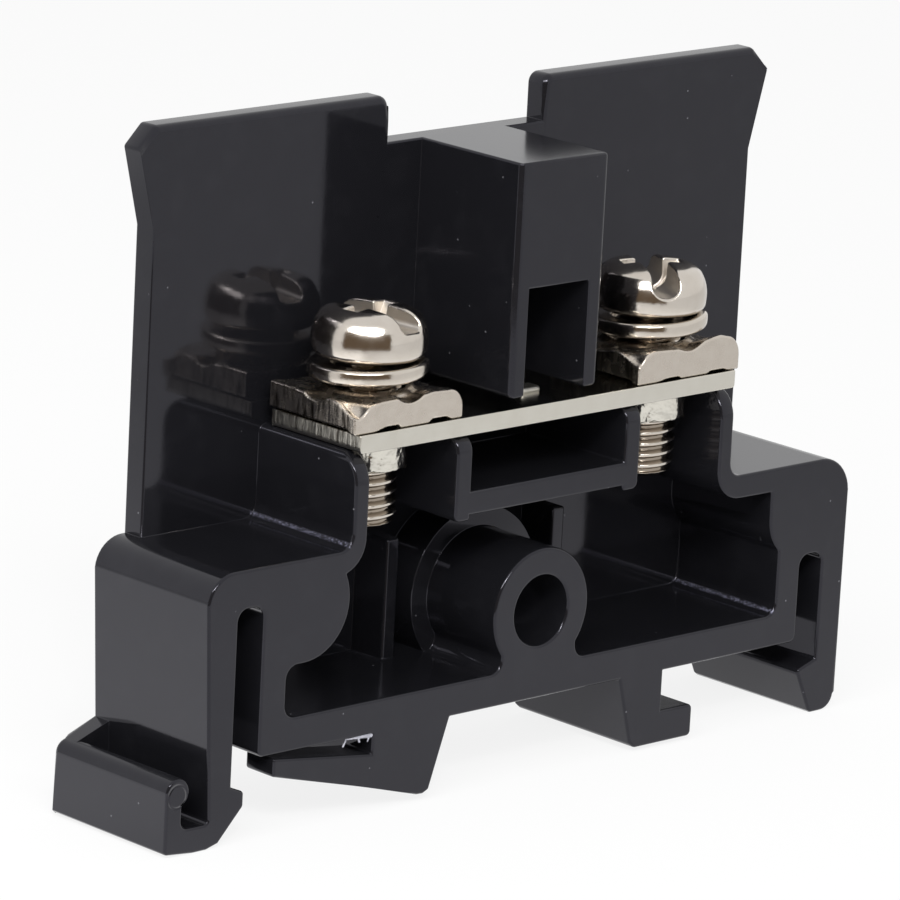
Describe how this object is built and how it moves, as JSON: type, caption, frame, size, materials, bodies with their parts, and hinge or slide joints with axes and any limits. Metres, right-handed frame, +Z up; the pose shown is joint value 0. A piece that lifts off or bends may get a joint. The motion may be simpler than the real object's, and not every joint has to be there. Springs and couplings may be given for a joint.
{
  "type": "barrier terminal strip",
  "caption": "Rail mounted barrier terminal block: black moulded housing with a tall barrier, spring legs and a release lever, a plated conductor bar and clamp screws with captive washers.",
  "frame": {"origin": "on the tie rod bore's axis, at the open front face", "axes": "+X along the conductor bar to the right, +Y along the bore from the open front to the barrier's back, +Z up from the rail to the barrier's top"},
  "size_m": [0.0407, 0.0075, 0.03],
  "materials": {
    "black_plastic": "glossy moulded",
    "bar_nickel": "satin nickel plate",
    "screw_nickel": "bright nickel plate",
    "spring_nickel": "bright nickel plate",
    "washer_nickel": "nickel plate over sheared edges"
  },
  "bodies": {
    "block": {"housing": "black_plastic", "conductor_bar": "bar_nickel"},
    "left_clamp": {"left_spring_washer": "spring_nickel", "left_square_washer": "washer_nickel"},
    "left_driver": {"left_screw": "screw_nickel"},
    "right_clamp": {"right_spring_washer": "spring_nickel", "right_square_washer": "washer_nickel"},
    "right_driver": {"right_screw": "screw_nickel"}
  },
  "joints": [
    {"name": "left_screw_lift", "type": "slide", "parent": "block", "child": "left_clamp", "axis": [0, 0, 1], "range_m": [0, 0.003]},
    {"name": "left_screw_turn", "type": "hinge", "parent": "left_clamp", "child": "left_driver", "pos_m": [-0.00844, 0.00285, 0.012], "axis": [0, 0, 1], "range_deg": [0, 2160]},
    {"name": "right_screw_lift", "type": "slide", "parent": "block", "child": "right_clamp", "axis": [0, 0, 1], "range_m": [0, 0.003]},
    {"name": "right_screw_turn", "type": "hinge", "parent": "right_clamp", "child": "right_driver", "pos_m": [0.00844, 0.00285, 0.012], "axis": [0, 0, 1], "range_deg": [0, 2160]}
  ],
  "couplings": [
    {"joint": "left_screw_turn", "follows": "left_screw_lift", "rad_per_m": 12566},
    {"joint": "right_screw_turn", "follows": "right_screw_lift", "rad_per_m": 12566}
  ]
}
